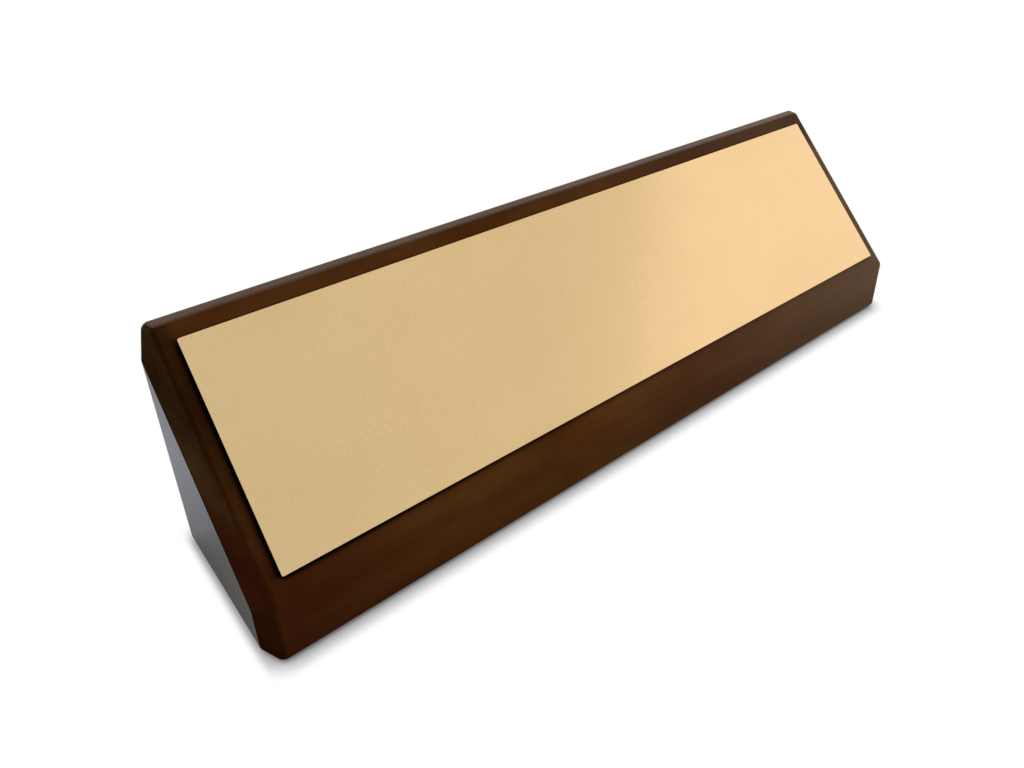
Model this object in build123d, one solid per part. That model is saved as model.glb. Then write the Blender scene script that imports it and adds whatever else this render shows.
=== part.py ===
from build123d import *

import os
from math import cos, radians, sin

# A desk name plate: a bevelled hardwood block with a sloping front, a thin metal plate held
# on that slope by two strips of thin double-sided tape, and four felt pads under the block.
# Millimetres and degrees. X runs along the plate to the reader's right, Y runs from the reader
# to the back, and Z is up. The origin is on the desk, under the middle of the block.

# Name plate, cut from sheet
PLATE_LENGTH = 203.2
PLATE_WIDTH = 50.8
PLATE_THICKNESS = 0.5
PLATE_CORNER_RADIUS = 0.4
PLATE_EDGE_RADIUS = 0.12

# Double-sided tape between the plate and the block
TAPE_WIDTH = 9.5
TAPE_THICKNESS = 0.15
TAPE_INSET = 2.5

# Hardwood block
PLATE_MARGIN = 3.9
SLOPE_ANGLE = 45.0
LIP_HEIGHT = 15.9
TOP_WIDTH = 4.3
END_BEVEL_WIDTH = 2.2
SLOPE_BEVEL_DEPTH = 7.3
LIP_BEVEL_DEPTH = 5.5
EDGE_RADIUS = 1.8
BASE_EDGE_RADIUS = 0.5

# Felt pads
PAD_DIAMETER = 9.5
PAD_THICKNESS = 1.0
PAD_INSET = 3.5
PAD_RIM_RADIUS = 0.25

# Sizes of the block that follow from the plate that it carries
FACE_LENGTH = PLATE_LENGTH + 2 * PLATE_MARGIN
SLOPE_LENGTH = PLATE_WIDTH + 2 * PLATE_MARGIN
SLOPE_RUN = SLOPE_LENGTH * cos(radians(SLOPE_ANGLE))
SLOPE_RISE = SLOPE_LENGTH * sin(radians(SLOPE_ANGLE))
BLOCK_LENGTH = FACE_LENGTH + 2 * END_BEVEL_WIDTH
BLOCK_DEPTH = SLOPE_RUN + TOP_WIDTH

# Places that several pieces share
FRONT_Y = -BLOCK_DEPTH / 2
BACK_Y = BLOCK_DEPTH / 2
UNDERSIDE_Z = PAD_THICKNESS
LIP_Z = UNDERSIDE_Z + LIP_HEIGHT
TOP_Z = LIP_Z + SLOPE_RISE
LIP_NORMAL = Vector(0, -1, 0)
SLOPE_NORMAL = Vector(0, -sin(radians(SLOPE_ANGLE)), cos(radians(SLOPE_ANGLE)))
SLOPE_FACE = Plane(
    origin=(0, FRONT_Y + SLOPE_RUN / 2, LIP_Z + SLOPE_RISE / 2),
    x_dir=(1, 0, 0),
    z_dir=SLOPE_NORMAL,
)


def bevel_plane(side, face_normal, depth):
    """The plane that bevels one end of a front face, back to the block's end face."""
    outward = Vector(side, 0, 0) * depth + face_normal * END_BEVEL_WIDTH
    return Plane(origin=(side * FACE_LENGTH / 2, FRONT_Y, LIP_Z), z_dir=outward)


def base_edges(block):
    """The edges round the block's underside."""
    return block.faces().sort_by(Axis.Z)[0].edges()


def wood_block():
    """The wedge: a five-sided outline run along X, bevelled at the front's two ends, edges rounded."""
    outline = Polyline(
        (FRONT_Y, UNDERSIDE_Z),
        (FRONT_Y, LIP_Z),
        (FRONT_Y + SLOPE_RUN, TOP_Z),
        (BACK_Y, TOP_Z),
        (BACK_Y, UNDERSIDE_Z),
        close=True,
    )
    block = extrude(Plane.YZ * make_face(outline), BLOCK_LENGTH / 2, both=True)
    for side in (-1, 1):
        for face_normal, depth in ((SLOPE_NORMAL, SLOPE_BEVEL_DEPTH), (LIP_NORMAL, LIP_BEVEL_DEPTH)):
            block = split(block, bisect_by=bevel_plane(side, face_normal, depth), keep=Keep.BOTTOM)
    rounded = fillet(block.edges() - base_edges(block), EDGE_RADIUS)
    return fillet(base_edges(rounded), BASE_EDGE_RADIUS)


def name_plate():
    """The plate, with rounded corners and the front rim just broken."""
    sheet = extrude(RectangleRounded(PLATE_LENGTH, PLATE_WIDTH, PLATE_CORNER_RADIUS), PLATE_THICKNESS)
    rim = sheet.faces().sort_by(Axis.Z)[-1].edges()
    return SLOPE_FACE * Pos(0, 0, TAPE_THICKNESS) * fillet(rim, PLATE_EDGE_RADIUS)


def tape_strip(side):
    """One strip of tape, along the plate's upper edge for side 1 and its lower edge for side -1."""
    middle_y = side * (PLATE_WIDTH / 2 - TAPE_INSET - TAPE_WIDTH / 2)
    strip = extrude(Rectangle(PLATE_LENGTH - 2 * TAPE_INSET, TAPE_WIDTH), TAPE_THICKNESS)
    return SLOPE_FACE * Pos(0, middle_y, 0) * strip


def felt_pad(side_x, side_y):
    """One round pad, set in from the block's end and its front or back."""
    disc = extrude(Circle(PAD_DIAMETER / 2), PAD_THICKNESS)
    rim = disc.faces().sort_by(Axis.Z)[0].edges()
    reach = PAD_INSET + PAD_DIAMETER / 2
    middle = Pos(side_x * (BLOCK_LENGTH / 2 - reach), side_y * (BLOCK_DEPTH / 2 - reach), 0)
    return middle * fillet(rim, PAD_RIM_RADIUS)


def make_pieces():
    """Every piece by its node name."""
    pieces = {
        "wood_block": wood_block(),
        "name_plate": name_plate(),
        "tape_strip_upper": tape_strip(1),
        "tape_strip_lower": tape_strip(-1),
    }
    for depth_name, side_y in (("front", -1), ("back", 1)):
        for length_name, side_x in (("left", -1), ("right", 1)):
            pieces[f"felt_pad_{depth_name}_{length_name}"] = felt_pad(side_x, side_y)
    return pieces


os.makedirs("parts", exist_ok=True)
for node, piece in make_pieces().items():
    export_step(piece, f"parts/{node}.step")
    size = piece.bounding_box().size
    print(f"{node}: {piece.volume:.0f} mm3, {size.X:.2f} x {size.Y:.2f} x {size.Z:.2f} mm")
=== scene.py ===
import random
from collections import namedtuple
from math import cos, pi, radians, sin

import bpy
from mathutils import Matrix, Vector, noise


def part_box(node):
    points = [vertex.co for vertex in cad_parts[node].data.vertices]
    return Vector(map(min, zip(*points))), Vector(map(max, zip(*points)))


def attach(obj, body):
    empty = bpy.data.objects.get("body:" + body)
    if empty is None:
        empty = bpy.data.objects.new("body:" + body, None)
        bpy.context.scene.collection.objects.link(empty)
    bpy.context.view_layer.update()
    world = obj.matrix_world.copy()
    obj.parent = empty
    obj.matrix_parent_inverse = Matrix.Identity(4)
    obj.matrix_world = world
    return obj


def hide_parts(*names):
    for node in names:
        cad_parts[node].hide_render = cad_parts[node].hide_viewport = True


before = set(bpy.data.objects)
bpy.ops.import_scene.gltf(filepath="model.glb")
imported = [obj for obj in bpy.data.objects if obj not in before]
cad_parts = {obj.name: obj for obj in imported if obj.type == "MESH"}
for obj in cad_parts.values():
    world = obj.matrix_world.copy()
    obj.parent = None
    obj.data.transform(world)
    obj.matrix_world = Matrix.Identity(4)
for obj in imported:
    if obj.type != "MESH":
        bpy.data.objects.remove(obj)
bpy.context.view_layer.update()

# A desk name plate: a dark stained wood wedge with a bare satin gold plate on its slope.
# Metres and degrees. X runs along the plate, Y to the back, Z up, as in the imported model.

# Camera, matched to the photograph
IMAGE_WIDTH = 1024
IMAGE_HEIGHT = 768
FOCAL_PIXELS = 838.18
OPTICAL_CENTRE = (585.59, 264.37)
CAMERA_PLACE = Vector((-0.13335, -0.14036, 0.15015))
CAMERA_AZIMUTH = -41.938
CAMERA_ELEVATION = 28.851
CAMERA_ROLL = -1.152
CAMERA_CLIP_START = 0.01

# Floor: white to the camera, with a painted contact shadow within reach of the object, and tinted in
# reflections
WHITE = (1.0, 1.0, 1.0, 1.0)
FLOOR_REACH = 3.0
FLOOR_COLOUR = (0.4, 0.4, 0.4, 1.0)
FLOOR_CONTACT_REACH = 0.0043
FLOOR_CONTACT_CURVE = 1.5
FLOOR_CONTACT_SAMPLES = 16
FLOOR_LEFT_REACH = 0.0022
FLOOR_MIRRORED_REACH = 0.036
FLOOR_MIRRORED_NEAR = (0.82, 0.97, 0.82, 1.0)
FLOOR_MIRRORED_FAR = (1.06, 1.13, 1.26, 1.0)

# Surround: its light, and its colours in reflections by the X, Y and Z parts of their directions
SURROUND_LIGHT = (0.45, 0.45, 0.45, 1.0)
SURROUND_MIRRORED_LEFT = (0.94, 0.97, 0.96, 1.0)
SURROUND_MIRRORED_RIGHT = (1.05, 1.03, 1.0, 1.0)
SURROUND_MIRRORED_BEHIND = (1.06, 1.13, 1.04, 1.0)
SURROUND_RIGHT_PARTS = (0.12, 0.42)
SURROUND_BEHIND_PARTS = (0.0, 0.4)
SURROUND_LOW_PARTS = (0.02, 0.25)
SURROUND_LOW_SHADE = 0.55

# Lamps
WINDOW_PLACE = Vector((0.7, -0.15, 0.34))
WINDOW_SIZE = (1.5, 0.68)
WINDOW_POWER = 1.25
WINDOW_COLOUR = (1.0, 0.9, 0.98)
KEY_PLACE = Vector((0.90, -0.42, 0.16))
KEY_AIM = Vector((0.0, 0.0, 0.03))
KEY_SIZE = (0.8, 0.3)
KEY_POWER = 18.5
FILL_PLACE = Vector((-0.5, -0.02, 0.05))
FILL_AIM = Vector((-0.1, 0.0, 0.03))
FILL_SIZE = (0.3, 0.2)
FILL_POWER = 0.3
RIM_PLACE = Vector((0.35, 0.85, 0.48))
RIM_AIM = Vector((0.0, 0.0, 0.0))
RIM_SIZE = (0.95, 0.55)
RIM_POWER = 0.75
OVERHEAD_PLACE = Vector((-0.10, 0.50, 0.42))
OVERHEAD_AIM = Vector((0.0, 0.0, 0.05))
OVERHEAD_SIZE = (0.25, 0.2)
OVERHEAD_POWER = 2.8

# Mix node: its inputs and outputs by number, because their names repeat
MIX_NUMBER_INPUTS = (0, 2, 3)
MIX_NUMBER_OUTPUT = 0
MIX_COLOUR_INPUTS = (0, 6, 7)
MIX_COLOUR_OUTPUT = 2

# Ranges: from nothing to all, and from all to nothing
RISING_SHARES = (0.0, 1.0)
FALLING_SHARES = (1.0, 0.0)

# Noise: the values that it mostly lies between, and the finer layers of a pattern that gives none
NOISE_LIMITS = (0.3, 0.7)
NOISE_DETAIL = 2.0
NOISE_ROUGHNESS = 0.5
Pattern = namedtuple("Pattern", "features detail roughness", defaults=(NOISE_DETAIL, NOISE_ROUGHNESS))

# Wood grain: patterns by their features in a metre along X, Y and Z, and shades of low and high values
WOOD_PITH = Vector((0.0, 0.045, -0.085))
WOOD_RING_STRETCH = (0.06, 1.0, 1.0)
WOOD_RING_SCALE = 105.0
WOOD_RING_DISTORTION = 5.0
WOOD_RING_DETAIL = 3.0
WOOD_RING_DETAIL_SCALE = 0.6
WOOD_RING_DETAIL_ROUGHNESS = 0.55
WOOD_RING_SHADES = (1.03, 0.97)
WOOD_MOTTLE = Pattern((36.0, 110.0, 110.0), detail=3.0, roughness=0.55)
WOOD_CLOUDS = Pattern((16.0, 60.0, 60.0))
WOOD_CLOUD_SHADES = (1.09, 0.91)
WOOD_FIBRES = Pattern((420.0, 2600.0, 2600.0), detail=4.0, roughness=0.6)
WOOD_FIBRE_SHADES = (0.96, 1.04)
WOOD_FIBRE_RELIEF_SHARE = 0.5
WOOD_FLECKS = Pattern((260.0, 5200.0, 5200.0), detail=1.0)
WOOD_PORE_LIMITS = (0.60, 0.72)
WOOD_PORE_SHADES = (1.0, 0.92)
WOOD_RELIEF = 0.00008
WOOD_RELIEF_STRENGTH = 0.08

# Wood finish
WOOD_ROUGHNESS = (0.22, 0.32)
WOOD_SPECULAR = 0.0
WOOD_GLOSS = 0.35
WOOD_END_GLOSS = 0.455
WOOD_GLOSS_ROUGHNESS = 0.18

# Wood faces: the parts of a face's normal between which the face starts to count as that kind
WOOD_END_NORMALS = (0.958, 0.985)
WOOD_GLOSSY_BACK_NORMALS = (-0.06, -0.005)
WOOD_GLOSSY_TOP_NORMALS = (0.86, 0.94)
WOOD_RIGHT_NORMALS = (0.5, 0.9)
WOOD_LEFT_NORMALS = (-0.75, -0.45)
WOOD_SLOPING_NORMALS = (0.05, 0.15)
WOOD_OPEN_NORMALS = (0.3, 0.6)

# Wood stain, and painted light and shade on it: places are shares of the block's half length from its
# middle, or of its height
WOOD_GOLDEN = (0.062, 0.0240, 0.0057, 1.0)
WOOD_RED = (0.052, 0.0148, 0.0036, 1.0)
WOOD_UPPER_SHARES = (0.80, 0.93)
# Painted shade darkening the lower left of the front; the low and corner tints also make it redder
WOOD_LEFT_PAINTED_SHADE_TINT = (0.76, 0.75, 0.74, 1.0)
WOOD_LEFT_PAINTED_SHADE_SHARES = (-0.99, -0.64)
WOOD_LOW_TINT = (0.88, 0.68, 0.82, 1.0)
WOOD_LOW_SHARES = (0.30, 0.55)
WOOD_CORNER_TINT = (0.75, 0.5, 0.45, 1.0)
WOOD_CORNER_SHARES = (0.42, 0.55)
# Painted light paling the front towards the right end, weaker on the upper strip, which it darkens instead
WOOD_PAINTED_LIGHT_PALE = (0.083, 0.0515, 0.031, 1.0)
WOOD_PAINTED_LIGHT_SHARES = (-0.28, 1.0)
WOOD_PAINTED_LIGHT_CURVE = 1.5
WOOD_UPPER_PAINTED_LIGHT_SHARE = 0.7
WOOD_UPPER_SHADE = 0.62
# Painted shade on the left end of the front, darker higher up
WOOD_LEFT_SHARES = (-0.961, -0.933)
WOOD_LEFT_HEIGHT_SHARES = (0.48, 0.82)
WOOD_LEFT_PAINTED_SHADES = (1.0, 0.48)
# Painted light: the left slope bevel lighter and less red
WOOD_BEVEL_PAINTED_LIGHT_TINT = (1.42, 1.9, 2.8, 1.0)
# Painted shade on the front, darker towards the foot
WOOD_FOOT_SHARES = (0.0, 0.25)
WOOD_FOOT_PAINTED_SHADE = 0.74
WOOD_END_SHADE = 0.55
WOOD_EDGE_SHADE = 0.3
# Painted shadow beside the plate, darkest where little of the view round a point is open
WOOD_RECESS_REACH = 0.005
WOOD_RECESS_LIMITS = (0.80, 0.99)
WOOD_RECESS_SHADE = 0.06
WOOD_RECESS_SHARES = (-0.90, 0.60)
WOOD_RECESS_WEIGHTS = (1.0, 0.25)
WOOD_RECESS_HEIGHT_SHARES = (0.93, 0.955)
WOOD_RECESS_SAMPLES = 32

# Plate
GOLD = (0.67, 0.48, 0.25, 1.0)
GOLD_DULL = (0.65, 0.462, 0.238, 1.0)
GOLD_METALLIC = 1.0
GOLD_ROUGHNESS = (0.19, 0.22)
GOLD_CLOUDS = Pattern((26.0, 40.0, 40.0), detail=3.0)
GOLD_WAVES = Pattern((12.0, 22.0, 22.0), detail=1.0)
GOLD_WAVE_RELIEF = 0.0004
GOLD_TOOTH = Pattern((2400.0, 2400.0, 2400.0))
GOLD_TOOTH_SHADES = (0.97, 1.03)
GOLD_TOOTH_RELIEF = 0.00004
GOLD_RELIEF_STRENGTH = 0.08

# Tape
TAPE_AMBER = (0.62, 0.50, 0.30, 1.0)
TAPE_PALE = (0.72, 0.62, 0.44, 1.0)
TAPE_ROUGHNESS = (0.35, 0.55)
TAPE_PULLS = Pattern((300.0, 1200.0, 1200.0), detail=3.0)
TAPE_RELIEF = 0.00002
TAPE_RELIEF_STRENGTH = 0.3

# Felt
FELT_DARK = (0.020, 0.013, 0.009, 1.0)
FELT_PALE = (0.075, 0.050, 0.036, 1.0)
FELT_ROUGHNESS = 0.95
FELT_SPECULAR = 0.15
FELT_SHEEN = 0.4
FELT_TANGLE = Pattern((5000.0, 5000.0, 5000.0), detail=5.0, roughness=0.7)
FELT_TUFTS = Pattern((1100.0, 1100.0, 1100.0))
FELT_TUFT_SHADES = (0.75, 1.25)
FELT_RELIEF = 0.00008
FELT_RELIEF_STRENGTH = 0.7

# Felt rounds: shares are of the pad's thickness, or of its radius where the name says so
FELT_SEGMENTS = 96
FELT_RINGS = 12
FELT_RIM_SHARE = 0.28
FELT_RIM_STEPS = 3
FELT_SIDE_SHARES = (0.55, 0.8)
FELT_TOP_RADIUS_SHARE = 0.99
FELT_NAP = 0.00007
FELT_NAP_SPACING = 0.00042

# Loose fibres round the felt
FELT_FIBRES = 160
FELT_FIBRE_JOINTS = 6
FELT_FIBRE_SIDES = 3
FELT_FIBRE_RADIUS = 0.000018
FELT_FIBRE_LENGTH = 0.0007
FELT_FIBRE_LENGTH_SHARES = (0.35, 1.0)
FELT_FIBRE_ROOT_SHARES = (0.2, 0.85)
FELT_FIBRE_ROOT_RADIUS_SHARE = 0.985
FELT_FIBRE_LIFT_SHARE = 0.15
FELT_FIBRE_OUTWARD_SHARE = 0.45
FELT_FIBRE_CURL = 0.75 * pi
FELT_FIBRE_TAPER_SHARE = 0.6


# Node trees

class Tree:
    """A material's or a world's node tree, with short calls to add and join nodes."""

    def __init__(self, owner):
        owner.use_nodes = True
        self.tree = owner.node_tree
        self.tree.nodes.clear()

    def set(self, socket, value):
        """Gives an input a number or a colour, or joins another node's output to it."""
        if isinstance(value, bpy.types.NodeSocket):
            self.tree.links.new(value, socket)
        else:
            socket.default_value = value

    def add(self, kind, values=None, **settings):
        """A new node, with its values by their input's name or number."""
        made = self.tree.nodes.new(kind)
        for name, value in settings.items():
            setattr(made, name, value)
        for name, value in (values or {}).items():
            self.set(made.inputs[name], value)
        return made

    def place(self):
        """The place of a point in the piece's own frame."""
        return self.add("ShaderNodeTexCoord").outputs["Object"]

    def parts(self, vector):
        """A vector's X, Y and Z."""
        return self.add("ShaderNodeSeparateXYZ", {"Vector": vector}).outputs

    def math(self, operation, first, second=0.0):
        """What an operation makes of one or two numbers."""
        return self.add("ShaderNodeMath", {0: first, 1: second}, operation=operation).outputs[0]

    def product(self, first, *others):
        """Some numbers multiplied together."""
        for other in others:
            first = self.math("MULTIPLY", first, other)
        return first

    def opposite(self, share):
        """What is left of 1."""
        return self.math("SUBTRACT", 1.0, share)

    def ranged(self, value, limits, results=RISING_SHARES, curve="SMOOTHSTEP"):
        """A value between two limits, taken to the matching place between two results."""
        low, high = limits
        to_low, to_high = results
        values = {"Value": value, "From Min": low, "From Max": high, "To Min": to_low, "To Max": to_high}
        return self.add("ShaderNodeMapRange", values, interpolation_type=curve).outputs["Result"]

    def noise(self, coordinates, pattern):
        """Noise with the features and the finer layers of a pattern."""
        scaled = self.add("ShaderNodeMapping", {"Vector": coordinates, "Scale": pattern.features}).outputs[0]
        layers = {"Detail": pattern.detail, "Roughness": pattern.roughness}
        return self.add("ShaderNodeTexNoise", {"Vector": scaled, "Scale": 1.0, **layers}).outputs["Fac"]

    def opening(self, reach, samples):
        """How much of the view round a point is free of other surfaces, as far as that reach."""
        return self.add("ShaderNodeAmbientOcclusion", {"Distance": reach}, samples=samples).outputs["AO"]

    def blend(self, share, first, second):
        """A number between two others."""
        values = dict(zip(MIX_NUMBER_INPUTS, (share, first, second)))
        return self.add("ShaderNodeMix", values).outputs[MIX_NUMBER_OUTPUT]

    def mixed(self, share, first, second, blend="MIX"):
        """A colour between two others, or the first as the second changes it."""
        values = dict(zip(MIX_COLOUR_INPUTS, (share, first, second)))
        made = self.add("ShaderNodeMix", values, data_type="RGBA", blend_type=blend)
        return made.outputs[MIX_COLOUR_OUTPUT]

    def tinted(self, share, colour, tint):
        """A colour times a tint, by that share."""
        return self.mixed(share, colour, tint, "MULTIPLY")

    def shaded(self, colour, *shades):
        """A colour times each of some numbers."""
        shade = self.product(*shades)
        grey = self.add("ShaderNodeCombineColor", {"Red": shade, "Green": shade, "Blue": shade}).outputs[0]
        return self.tinted(1.0, colour, grey)

    def bump(self, height, strength, distance, under=None):
        """The normals of a relief, laid over those of another one where that is given."""
        values = {"Height": height, "Strength": strength, "Distance": distance}
        if under is not None:
            values["Normal"] = under
        return self.add("ShaderNodeBump", values).outputs[0]

    def light_path(self):
        """What kind of ray looks at the surface."""
        return self.add("ShaderNodeLightPath").outputs

    def finish(self, shader, output="ShaderNodeOutputMaterial"):
        """Ends the tree with that shader."""
        self.add(output, {"Surface": shader})


def new_material(name):
    """A new material and its empty node tree."""
    material = bpy.data.materials.new(name)
    return material, Tree(material)


def surface(tree, values):
    """Ends a material with one shader of those values."""
    tree.finish(tree.add("ShaderNodeBsdfPrincipled", values).outputs[0])


# Wood

def lengths(shares):
    """Places along X, by their shares of the block's half length from its middle."""
    low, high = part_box("wood_block")
    return [(low.x + high.x) / 2 + share * (high.x - low.x) / 2 for share in shares]


def heights(shares):
    """Places along Z, by their shares of the block's height from its underside."""
    low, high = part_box("wood_block")
    return [low.z + share * (high.z - low.z) for share in shares]


def wood_grain(tree, place):
    """The grain's patterns by name: growth rings, mottle, clouds, short fibres and open pores, along X."""
    from_pith = tree.add("ShaderNodeMapping", {"Vector": place, "Location": -WOOD_PITH}).outputs[0]
    drawn_out = tree.add("ShaderNodeMapping", {"Vector": from_pith, "Scale": WOOD_RING_STRETCH}).outputs[0]
    rings = {
        "Vector": drawn_out,
        "Scale": WOOD_RING_SCALE,
        "Distortion": WOOD_RING_DISTORTION,
        "Detail": WOOD_RING_DETAIL,
        "Detail Scale": WOOD_RING_DETAIL_SCALE,
        "Detail Roughness": WOOD_RING_DETAIL_ROUGHNESS,
    }
    saw = {"wave_type": "RINGS", "rings_direction": "X", "wave_profile": "SAW"}
    return {
        "rings": tree.add("ShaderNodeTexWave", rings, **saw).outputs["Fac"],
        "mottle": tree.noise(place, WOOD_MOTTLE),
        "clouds": tree.noise(place, WOOD_CLOUDS),
        "fibres": tree.noise(place, WOOD_FIBRES),
        "pores": tree.ranged(tree.noise(place, WOOD_FLECKS), WOOD_PORE_LIMITS),
    }


def wood_faces(tree):
    """Shares by name that tell the block's faces apart, from the way they face."""
    normal = tree.parts(tree.add("ShaderNodeNewGeometry").outputs["Normal"])
    right = tree.ranged(normal["X"], WOOD_RIGHT_NORMALS)
    ends = tree.ranged(tree.math("ABSOLUTE", normal["X"]), WOOD_END_NORMALS)
    back_and_ends = tree.ranged(normal["Y"], WOOD_GLOSSY_BACK_NORMALS)
    glossy = tree.math("MAXIMUM", back_and_ends, tree.ranged(normal["Z"], WOOD_GLOSSY_TOP_NORMALS))
    left = tree.ranged(normal["X"], WOOD_LEFT_NORMALS, FALLING_SHARES)
    return {
        "right": right,
        # The end faces are darker end grain; the right bevel gets the same darkening as painted shade
        "end_grain_and_right_bevel": tree.math("MAXIMUM", ends, right),
        "end_edge": tree.product(ends, tree.opposite(glossy)),
        "coat": tree.product(glossy, tree.blend(ends, WOOD_GLOSS, WOOD_END_GLOSS)),
        "front": tree.opposite(glossy),
        "left_slope_bevel": tree.product(left, tree.ranged(normal["Z"], WOOD_SLOPING_NORMALS)),
        "open": tree.ranged(normal["Z"], WOOD_OPEN_NORMALS),
    }


def wood_stain(tree, spot, upper, mottle, faces):
    """Patches of golden and red stain, darker to the lower left by painted shade and redder there, paler to
    the right by painted light.
    """
    front = faces["front"]
    colour = tree.mixed(tree.ranged(mottle, NOISE_LIMITS), WOOD_GOLDEN, WOOD_RED)

    # Painted shade on the lower left of the front, redder low down and on the bevel's corner
    leftward = tree.ranged(spot["X"], lengths(WOOD_LEFT_PAINTED_SHADE_SHARES), FALLING_SHARES)
    lower_left_painted_shade = tree.product(front, tree.opposite(upper), leftward)
    low = tree.ranged(spot["Z"], heights(WOOD_LOW_SHARES), FALLING_SHARES)
    corner = tree.ranged(spot["Z"], heights(WOOD_CORNER_SHARES), FALLING_SHARES)
    colour = tree.tinted(lower_left_painted_shade, colour, WOOD_LEFT_PAINTED_SHADE_TINT)
    colour = tree.tinted(tree.product(lower_left_painted_shade, low), colour, WOOD_LOW_TINT)
    # Painted light on the left slope bevel
    colour = tree.tinted(faces["left_slope_bevel"], colour, WOOD_BEVEL_PAINTED_LIGHT_TINT)
    colour = tree.tinted(tree.product(lower_left_painted_shade, corner, faces["left_slope_bevel"]), colour, WOOD_CORNER_TINT)

    # Painted light paling the front towards the right, none on the right bevel, and darker on the upper
    # strip
    rightward = tree.ranged(spot["X"], lengths(WOOD_PAINTED_LIGHT_SHARES), curve="LINEAR")
    right_painted_light = tree.math("POWER", rightward, WOOD_PAINTED_LIGHT_CURVE)
    painted_light_weight = tree.product(tree.blend(upper, 1.0, WOOD_UPPER_PAINTED_LIGHT_SHARE), tree.opposite(faces["right"]))
    colour = tree.mixed(tree.product(front, right_painted_light, painted_light_weight), colour, WOOD_PAINTED_LIGHT_PALE)
    return tree.shaded(colour, tree.blend(tree.product(front, upper, right_painted_light), 1.0, WOOD_UPPER_SHADE))


def wood_painted_recess_shadow(tree, spot, upper_side):
    """Painted shadow in the corner beside the plate, weaker to the right, and none above the plate."""
    opening = tree.opening(WOOD_RECESS_REACH, WOOD_RECESS_SAMPLES)
    shade = tree.ranged(opening, WOOD_RECESS_LIMITS, (WOOD_RECESS_SHADE, 1.0))
    below = tree.ranged(spot["Z"], heights(WOOD_RECESS_HEIGHT_SHARES), FALLING_SHARES)
    weight = tree.ranged(spot["X"], lengths(WOOD_RECESS_SHARES), WOOD_RECESS_WEIGHTS)
    return tree.blend(tree.product(upper_side, below, weight), 1.0, shade)


def wood_material():
    """Brown stain over fine grain along X, matt on the front and under a satin coat elsewhere, with painted
    light and shade.
    """
    material, tree = new_material("stained_wood")
    place = tree.place()
    spot = tree.parts(place)
    grain = wood_grain(tree, place)
    faces = wood_faces(tree)
    upper = tree.ranged(spot["Z"], heights(WOOD_UPPER_SHARES))
    left = tree.ranged(spot["X"], lengths(WOOD_LEFT_SHARES), FALLING_SHARES)
    left_painted_shade = tree.ranged(spot["Z"], heights(WOOD_LEFT_HEIGHT_SHARES), WOOD_LEFT_PAINTED_SHADES)
    foot_painted_shade = tree.ranged(spot["Z"], heights(WOOD_FOOT_SHARES), (WOOD_FOOT_PAINTED_SHADE, 1.0))
    colour = tree.shaded(
        wood_stain(tree, spot, upper, grain["mottle"], faces),
        tree.ranged(grain["clouds"], NOISE_LIMITS, WOOD_CLOUD_SHADES),
        tree.ranged(grain["rings"], RISING_SHARES, WOOD_RING_SHADES),
        tree.ranged(grain["fibres"], NOISE_LIMITS, WOOD_FIBRE_SHADES),
        tree.ranged(grain["pores"], RISING_SHARES, WOOD_PORE_SHADES),
        # Darker end grain, and painted shade on the right bevel
        tree.blend(faces["end_grain_and_right_bevel"], 1.0, WOOD_END_SHADE),
        tree.blend(faces["end_edge"], 1.0, WOOD_EDGE_SHADE),
        # Painted shade towards the foot of the front
        tree.blend(faces["front"], 1.0, foot_painted_shade),
        # Painted shade on the left end of the front
        tree.blend(tree.product(faces["front"], left), 1.0, left_painted_shade),
        wood_painted_recess_shadow(tree, spot, faces["open"]),
    )
    relief = tree.math("SUBTRACT", tree.product(grain["fibres"], WOOD_FIBRE_RELIEF_SHARE), grain["pores"])
    surface(tree, {
        "Base Color": colour,
        "Roughness": tree.ranged(grain["fibres"], NOISE_LIMITS, WOOD_ROUGHNESS),
        "Specular IOR Level": WOOD_SPECULAR,
        "Coat Weight": faces["coat"],
        "Coat Roughness": WOOD_GLOSS_ROUGHNESS,
        "Normal": tree.bump(relief, WOOD_RELIEF_STRENGTH, WOOD_RELIEF),
    })
    return material


# Other materials

def gold_material():
    """Satin gold sheet, with faint cloudiness, a slight swell and a very fine tooth."""
    material, tree = new_material("gold_plate")
    place = tree.place()
    clouds = tree.noise(place, GOLD_CLOUDS)
    tooth = tree.noise(place, GOLD_TOOTH)
    waves = tree.noise(place, GOLD_WAVES)
    colour = tree.mixed(tree.ranged(clouds, NOISE_LIMITS), GOLD, GOLD_DULL)
    swell = tree.bump(waves, GOLD_RELIEF_STRENGTH, GOLD_WAVE_RELIEF)
    surface(tree, {
        "Base Color": tree.shaded(colour, tree.ranged(tooth, NOISE_LIMITS, GOLD_TOOTH_SHADES)),
        "Metallic": GOLD_METALLIC,
        "Roughness": tree.ranged(clouds, NOISE_LIMITS, GOLD_ROUGHNESS),
        "Normal": tree.bump(tooth, GOLD_RELIEF_STRENGTH, GOLD_TOOTH_RELIEF, under=swell),
    })
    return material


def tape_material():
    """Pale amber film, slightly uneven where the adhesive has pulled."""
    material, tree = new_material("adhesive_tape")
    pulls = tree.noise(tree.place(), TAPE_PULLS)
    surface(tree, {
        "Base Color": tree.mixed(tree.ranged(pulls, NOISE_LIMITS), TAPE_AMBER, TAPE_PALE),
        "Roughness": tree.ranged(pulls, NOISE_LIMITS, TAPE_ROUGHNESS),
        "Normal": tree.bump(pulls, TAPE_RELIEF_STRENGTH, TAPE_RELIEF),
    })
    return material


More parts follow.
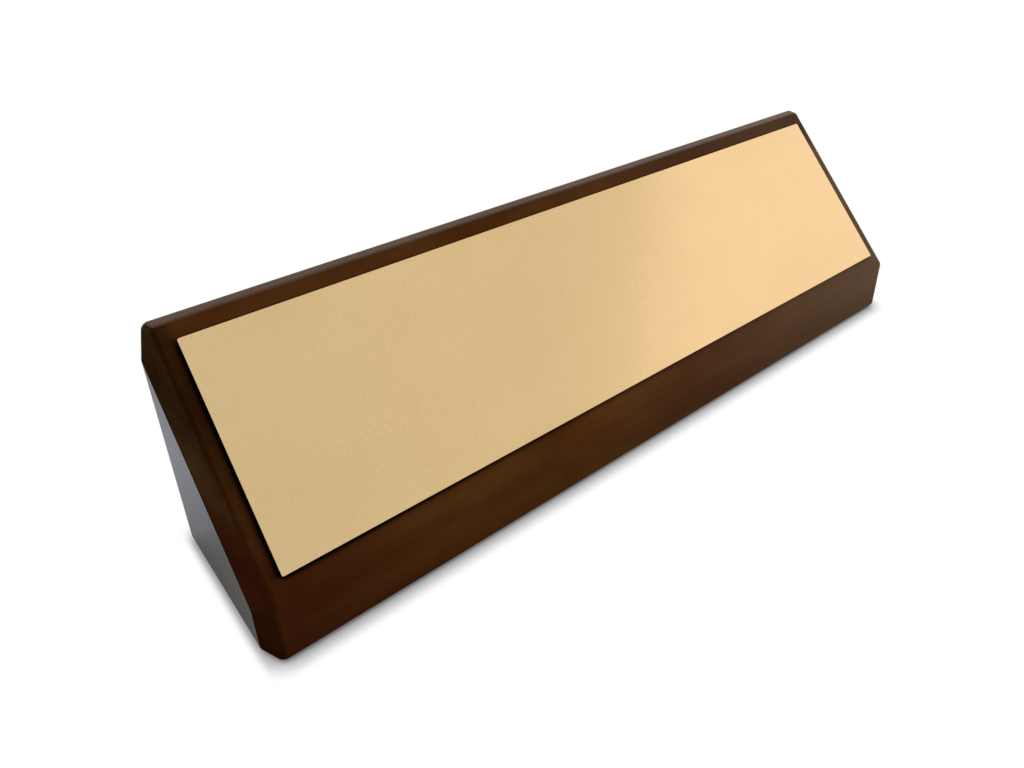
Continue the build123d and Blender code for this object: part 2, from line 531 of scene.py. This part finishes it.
def felt_material():
    """Brown pressed felt: tangled short fibres with a soft sheen."""
    material, tree = new_material("felt")
    place = tree.place()
    tangle = tree.noise(place, FELT_TANGLE)
    tufts = tree.noise(place, FELT_TUFTS)
    colour = tree.mixed(tree.ranged(tangle, NOISE_LIMITS), FELT_DARK, FELT_PALE)
    surface(tree, {
        "Base Color": tree.shaded(colour, tree.ranged(tufts, NOISE_LIMITS, FELT_TUFT_SHADES)),
        "Roughness": FELT_ROUGHNESS,
        "Specular IOR Level": FELT_SPECULAR,
        "Sheen Weight": FELT_SHEEN,
        "Normal": tree.bump(tangle, FELT_RELIEF_STRENGTH, FELT_RELIEF),
    })
    return material


# Pieces

def finish_node(node, material):
    """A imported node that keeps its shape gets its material."""
    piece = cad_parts[node]
    piece.data.materials.clear()
    piece.data.materials.append(material)


def mesh_piece(name, points, faces, material):
    """A piece from its points and faces, smooth shaded."""
    mesh = bpy.data.meshes.new(name)
    mesh.from_pydata(points, [], faces)
    mesh.validate()
    mesh.materials.append(material)
    mesh.shade_smooth()
    piece = bpy.data.objects.new(name, mesh)
    bpy.context.scene.collection.objects.link(piece)
    return piece


def stand_for(piece, node):
    """The soft piece takes the place of its plain node."""
    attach(piece, "root")
    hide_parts(node)


def closed_rows(rows, count):
    """The faces of a closed form: quads between neighbouring rows of points, and a cap at each end."""
    faces = []
    for start in range(0, (rows - 1) * count, count):
        for i in range(count):
            after = (i + 1) % count
            faces.append((start + i, start + after, start + count + after, start + count + i))
    faces.append(tuple(reversed(range(count))))
    faces.append(tuple(range((rows - 1) * count, rows * count)))
    return faces


def felt_fibre(draw, middle, radius, thickness):
    """The points of one loose fibre, that springs from the pad's side and curls back."""
    turn = draw.uniform(0.0, 2 * pi)
    outward = Vector((cos(turn), sin(turn), 0.0))
    sideways = Vector((-sin(turn), cos(turn), 0.0)) * draw.uniform(-1.0, 1.0)
    root_height = draw.uniform(*FELT_FIBRE_ROOT_SHARES) * thickness
    length = draw.uniform(*FELT_FIBRE_LENGTH_SHARES) * FELT_FIBRE_LENGTH
    lift = draw.uniform(-FELT_FIBRE_LIFT_SHARE, FELT_FIBRE_LIFT_SHARE) * thickness
    points = []
    for joint in range(FELT_FIBRE_JOINTS):
        share = joint / (FELT_FIBRE_JOINTS - 1)
        arc = sin(share * FELT_FIBRE_CURL)
        reach = radius * FELT_FIBRE_ROOT_RADIUS_SHARE + length * FELT_FIBRE_OUTWARD_SHARE * arc
        centre = middle + outward * reach + sideways * length * share
        centre.z += root_height + lift * arc
        thin = FELT_FIBRE_RADIUS * (1.0 - FELT_FIBRE_TAPER_SHARE * share)
        for side in range(FELT_FIBRE_SIDES):
            angle = 2 * pi * side / FELT_FIBRE_SIDES
            points.append(centre + outward * (thin * cos(angle)) + Vector((0.0, 0.0, thin * sin(angle))))
    return points


def felt_profile(radius, thickness):
    """The pad's half section from its middle underneath, round a soft rim and up its side: reach, height."""
    rim = thickness * FELT_RIM_SHARE
    under = [radius * ring / FELT_RINGS for ring in range(1, FELT_RINGS)]
    profile = [(reach, 0.0) for reach in under if reach < radius - rim]
    for step in range(FELT_RIM_STEPS + 1):
        angle = step / FELT_RIM_STEPS * pi / 2
        profile.append((radius - rim * (1.0 - sin(angle)), rim * (1.0 - cos(angle))))
    profile += [(radius, thickness * share) for share in FELT_SIDE_SHARES]
    profile.append((radius * FELT_TOP_RADIUS_SHARE, thickness))
    return profile


def felt_round(middle, profile):
    """The points of the pad, row by row, with an uneven nap."""
    points = []
    for reach, height in profile:
        for segment in range(FELT_SEGMENTS):
            turn = 2 * pi * segment / FELT_SEGMENTS
            outward = Vector((cos(turn), sin(turn), 0.0))
            point = middle + outward * reach + Vector((0.0, 0.0, height))
            nap = FELT_NAP * noise.noise(point / FELT_NAP_SPACING)
            point += Vector((0.0, 0.0, abs(nap))) if height == 0.0 else outward * nap
            points.append(point)
    return points


def felt_piece(name, node, material, seed):
    """A round of felt with a soft rim, an uneven nap underneath and loose fibres round it."""
    low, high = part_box(node)
    middle = Vector(((low.x + high.x) / 2, (low.y + high.y) / 2, low.z))
    radius = (high.x - low.x) / 2
    thickness = high.z - low.z
    profile = felt_profile(radius, thickness)
    points = felt_round(middle, profile)
    faces = closed_rows(len(profile), FELT_SEGMENTS)
    draw = random.Random(seed)
    fibre_faces = closed_rows(FELT_FIBRE_JOINTS, FELT_FIBRE_SIDES)
    for _ in range(FELT_FIBRES):
        first = len(points)
        points += felt_fibre(draw, middle, radius, thickness)
        faces += [tuple(first + corner for corner in face) for face in fibre_faces]
    stand_for(mesh_piece(name, points, faces, material), node)


# Studio

def floor_material():
    """White to the camera and in reflections, with a painted shadow close to the object that reaches wider
    in reflections, and pale grey to other light.
    """
    material, tree = new_material("floor")
    path = tree.light_path()
    mirrored = path["Is Glossy Ray"]
    left_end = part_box("wood_block")[0].x
    left_strip = (left_end - FLOOR_LEFT_REACH, left_end)
    beside_left = tree.ranged(tree.parts(tree.place())["X"], left_strip, FALLING_SHARES)
    near = tree.blend(beside_left, tree.opening(FLOOR_CONTACT_REACH, FLOOR_CONTACT_SAMPLES), 1.0)
    around = tree.opening(FLOOR_MIRRORED_REACH, FLOOR_CONTACT_SAMPLES)
    painted_contact_shadow = tree.math("POWER", tree.blend(mirrored, near, around), FLOOR_CONTACT_CURVE)
    tint = tree.mixed(mirrored, WHITE, tree.mixed(around, FLOOR_MIRRORED_NEAR, FLOOR_MIRRORED_FAR))
    white = tree.add("ShaderNodeEmission", {"Color": tint, "Strength": painted_contact_shadow}).outputs[0]
    lit = tree.add("ShaderNodeBsdfDiffuse", {"Color": FLOOR_COLOUR}).outputs[0]
    turned = tree.math("MAXIMUM", mirrored, path["Is Transmission Ray"])
    seen = tree.math("MAXIMUM", path["Is Camera Ray"], turned)
    tree.finish(tree.add("ShaderNodeMixShader", {0: seen, 1: lit, 2: white}).outputs[0])
    return material


def make_floor():
    """A plain pale floor at the object's foot."""
    corners = [(x * FLOOR_REACH, y * FLOOR_REACH, 0.0) for x, y in ((-1, -1), (1, -1), (1, 1), (-1, 1))]
    mesh = bpy.data.meshes.new("floor")
    mesh.from_pydata(corners, [], [(0, 1, 2, 3)])
    mesh.materials.append(floor_material())
    floor = bpy.data.objects.new("floor", mesh)
    bpy.context.scene.collection.objects.link(floor)


def make_surround():
    """Even light all round, white to the camera. Reflections show it about white, tinted by direction."""
    world = bpy.data.worlds.new("surround")
    bpy.context.scene.world = world
    tree = Tree(world)
    path = tree.light_path()
    direction = tree.parts(tree.add("ShaderNodeTexCoord").outputs["Generated"])
    rightward = tree.ranged(direction["X"], SURROUND_RIGHT_PARTS)
    behind = tree.ranged(direction["Y"], SURROUND_BEHIND_PARTS)
    mirrored = tree.mixed(rightward, SURROUND_MIRRORED_LEFT, SURROUND_MIRRORED_RIGHT)
    mirrored = tree.mixed(behind, mirrored, SURROUND_MIRRORED_BEHIND)
    low_shade = tree.ranged(direction["Z"], SURROUND_LOW_PARTS, (SURROUND_LOW_SHADE, 1.0))
    mirrored = tree.shaded(mirrored, low_shade)
    turned = tree.math("MAXIMUM", path["Is Glossy Ray"], path["Is Transmission Ray"])
    colour = tree.mixed(turned, SURROUND_LIGHT, mirrored)
    colour = tree.mixed(path["Is Camera Ray"], colour, WHITE)
    tree.finish(tree.add("ShaderNodeBackground", {"Color": colour}).outputs[0], "ShaderNodeOutputWorld")


def add_panel(name, place, aim, size, power):
    """A soft rectangular lamp at a place, turned to face its aim."""
    light = bpy.data.lights.new(name, "AREA")
    light.shape = "RECTANGLE"
    light.size, light.size_y = size
    light.energy = power
    lamp = bpy.data.objects.new(name, light)
    lamp.location = place
    lamp.rotation_euler = (aim - place).to_track_quat("-Z", "Y").to_euler()
    bpy.context.scene.collection.objects.link(lamp)
    return lamp


def make_lights():
    """A window that the plate mirrors, a low key from the right, a weak fill, and two lamps behind."""
    straight_across = Vector((0.0, WINDOW_PLACE.y, WINDOW_PLACE.z))
    window = add_panel("window", WINDOW_PLACE, straight_across, WINDOW_SIZE, WINDOW_POWER)
    window.data.color = WINDOW_COLOUR
    add_panel("rim", RIM_PLACE, RIM_AIM, RIM_SIZE, RIM_POWER)
    key = add_panel("key", KEY_PLACE, KEY_AIM, KEY_SIZE, KEY_POWER)
    fill = add_panel("fill", FILL_PLACE, FILL_AIM, FILL_SIZE, FILL_POWER)
    overhead = add_panel("overhead", OVERHEAD_PLACE, OVERHEAD_AIM, OVERHEAD_SIZE, OVERHEAD_POWER)
    for lamp in (key, fill, overhead):
        lamp.visible_glossy = False


def make_camera():
    """The photograph's view."""
    data = bpy.data.cameras.new("camera")
    data.lens = data.sensor_width * FOCAL_PIXELS / IMAGE_WIDTH
    data.shift_x = (IMAGE_WIDTH / 2 - OPTICAL_CENTRE[0]) / IMAGE_WIDTH
    data.shift_y = (OPTICAL_CENTRE[1] - IMAGE_HEIGHT / 2) / IMAGE_WIDTH
    data.clip_start = CAMERA_CLIP_START
    azimuth, elevation, roll = map(radians, (CAMERA_AZIMUTH, CAMERA_ELEVATION, CAMERA_ROLL))
    forward = Vector((-sin(azimuth) * cos(elevation), cos(azimuth) * cos(elevation), -sin(elevation)))
    level = forward.cross(Vector((0.0, 0.0, 1.0))).normalized()
    right = level * cos(roll) + forward.cross(level) * sin(roll)
    up = right.cross(forward)
    turned = Matrix((right, up, -forward)).transposed().to_4x4()
    camera = bpy.data.objects.new("camera", data)
    camera.matrix_world = Matrix.Translation(CAMERA_PLACE) @ turned
    bpy.context.scene.collection.objects.link(camera)
    bpy.context.scene.camera = camera


# The object
finish_node("wood_block", wood_material())
finish_node("name_plate", gold_material())
tape = tape_material()
for side in ("upper", "lower"):
    finish_node(f"tape_strip_{side}", tape)
felt = felt_material()
for number, corner in enumerate(("front_left", "front_right", "back_left", "back_right")):
    felt_piece(f"felt_round_{corner}", f"felt_pad_{corner}", felt, seed=number)

# The view of it
make_floor()
make_surround()
make_lights()
make_camera()
bpy.context.scene.view_settings.view_transform = "Standard"
